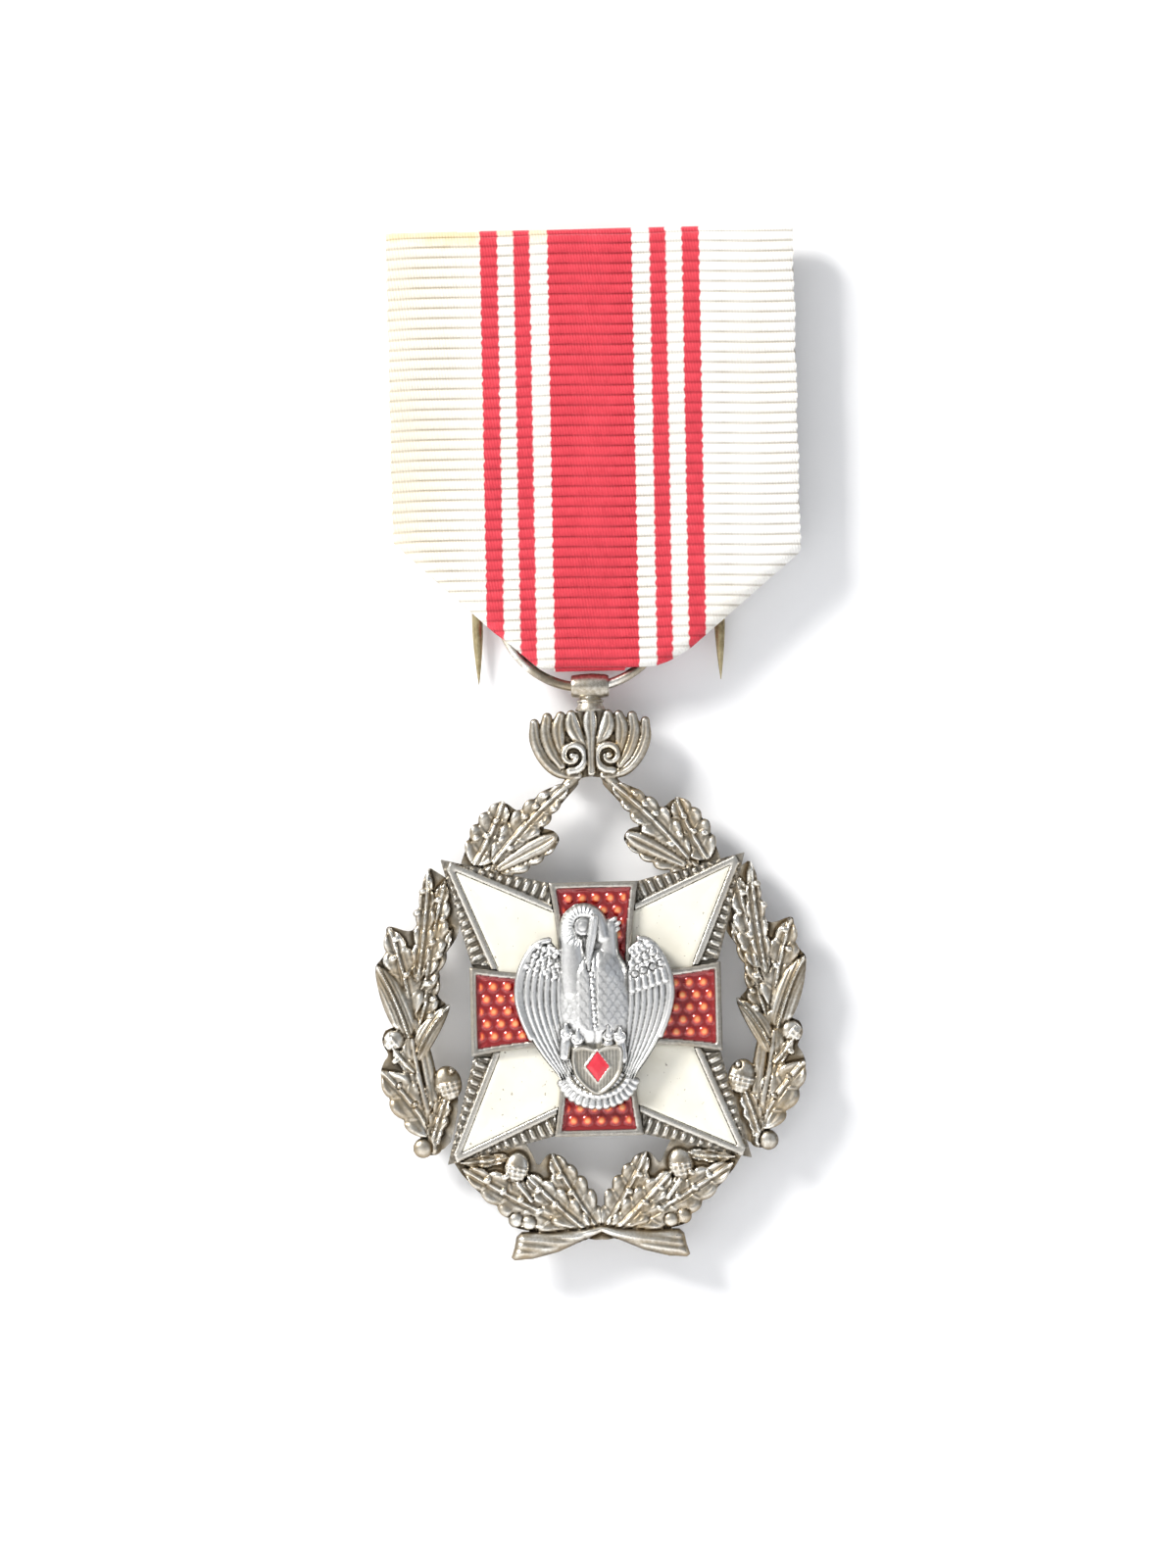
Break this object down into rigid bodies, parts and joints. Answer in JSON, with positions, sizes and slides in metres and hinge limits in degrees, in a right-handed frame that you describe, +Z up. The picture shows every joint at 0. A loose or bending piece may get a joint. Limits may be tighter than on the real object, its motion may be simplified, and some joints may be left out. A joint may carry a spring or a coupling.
{
  "type": "service medal",
  "caption": "Enamelled service medal in an oak wreath, hung by a ring from a folded striped ribbon on a pin brooch.",
  "frame": {"origin": "the middle of the brooch plate's flat back, which lies on the garment", "axes": "+Z up as worn, -Y the way the medal faces, +X to the right of a person looking at its front"},
  "size_m": [0.0406, 0.0071, 0.0956],
  "materials": {
    "brass": "plain brass, lightly tarnished",
    "toned_silver": "struck silver with a warm grey-brown tone, bright on the high points",
    "bright_silver": "bright, lightly brushed silver",
    "white_enamel": "glossy opaque ivory enamel",
    "red_enamel": "glossy translucent red enamel over raised dots",
    "ribbon": "ribbed white ribbon with red stripes",
    "thread": "white sewing thread"
  },
  "bodies": {
    "brooch": {"brooch_plate": "brass", "brooch_bar": "brass", "prong_left": "brass", "prong_right": "brass"},
    "drape": {"ribbon_drape": "ribbon", "seam_thread": "thread"},
    "ring": {"suspension_ring": "toned_silver"},
    "badge": {"barrel_eyelet": "toned_silver", "palmette": "toned_silver", "upper_sprig_left": "toned_silver", "upper_sprig_right": "toned_silver", "branch_left": "toned_silver", "branch_right": "toned_silver", "lower_spray_left": "toned_silver", "lower_spray_right": "toned_silver", "saltire": "toned_silver", "white_enamel_upper_left": "white_enamel", "white_enamel_upper_right": "white_enamel", "white_enamel_lower_left": "white_enamel", "white_enamel_lower_right": "white_enamel", "cross_frame": "toned_silver", "red_enamel": "red_enamel", "pelican": "bright_silver", "nest_shield": "bright_silver", "shield_enamel": "red_enamel", "rivet_upper": "toned_silver", "rivet_lower": "toned_silver"}
  },
  "joints": [
    {"name": "drape_swing", "type": "hinge", "parent": "brooch", "child": "drape", "pos_m": [0, -0.0029, 0.0007], "axis": [-1, 0, 0], "range_deg": [0, 60]},
    {"name": "ring_slide", "type": "slide", "parent": "drape", "child": "ring", "axis": [0, 0, 1], "range_m": [-0.012, 0]},
    {"name": "badge_swing", "type": "hinge", "parent": "ring", "child": "badge", "pos_m": [-0.00095, -0.0029, -0.0402], "axis": [-1, 0, 0], "range_deg": [0, 90]}
  ]
}
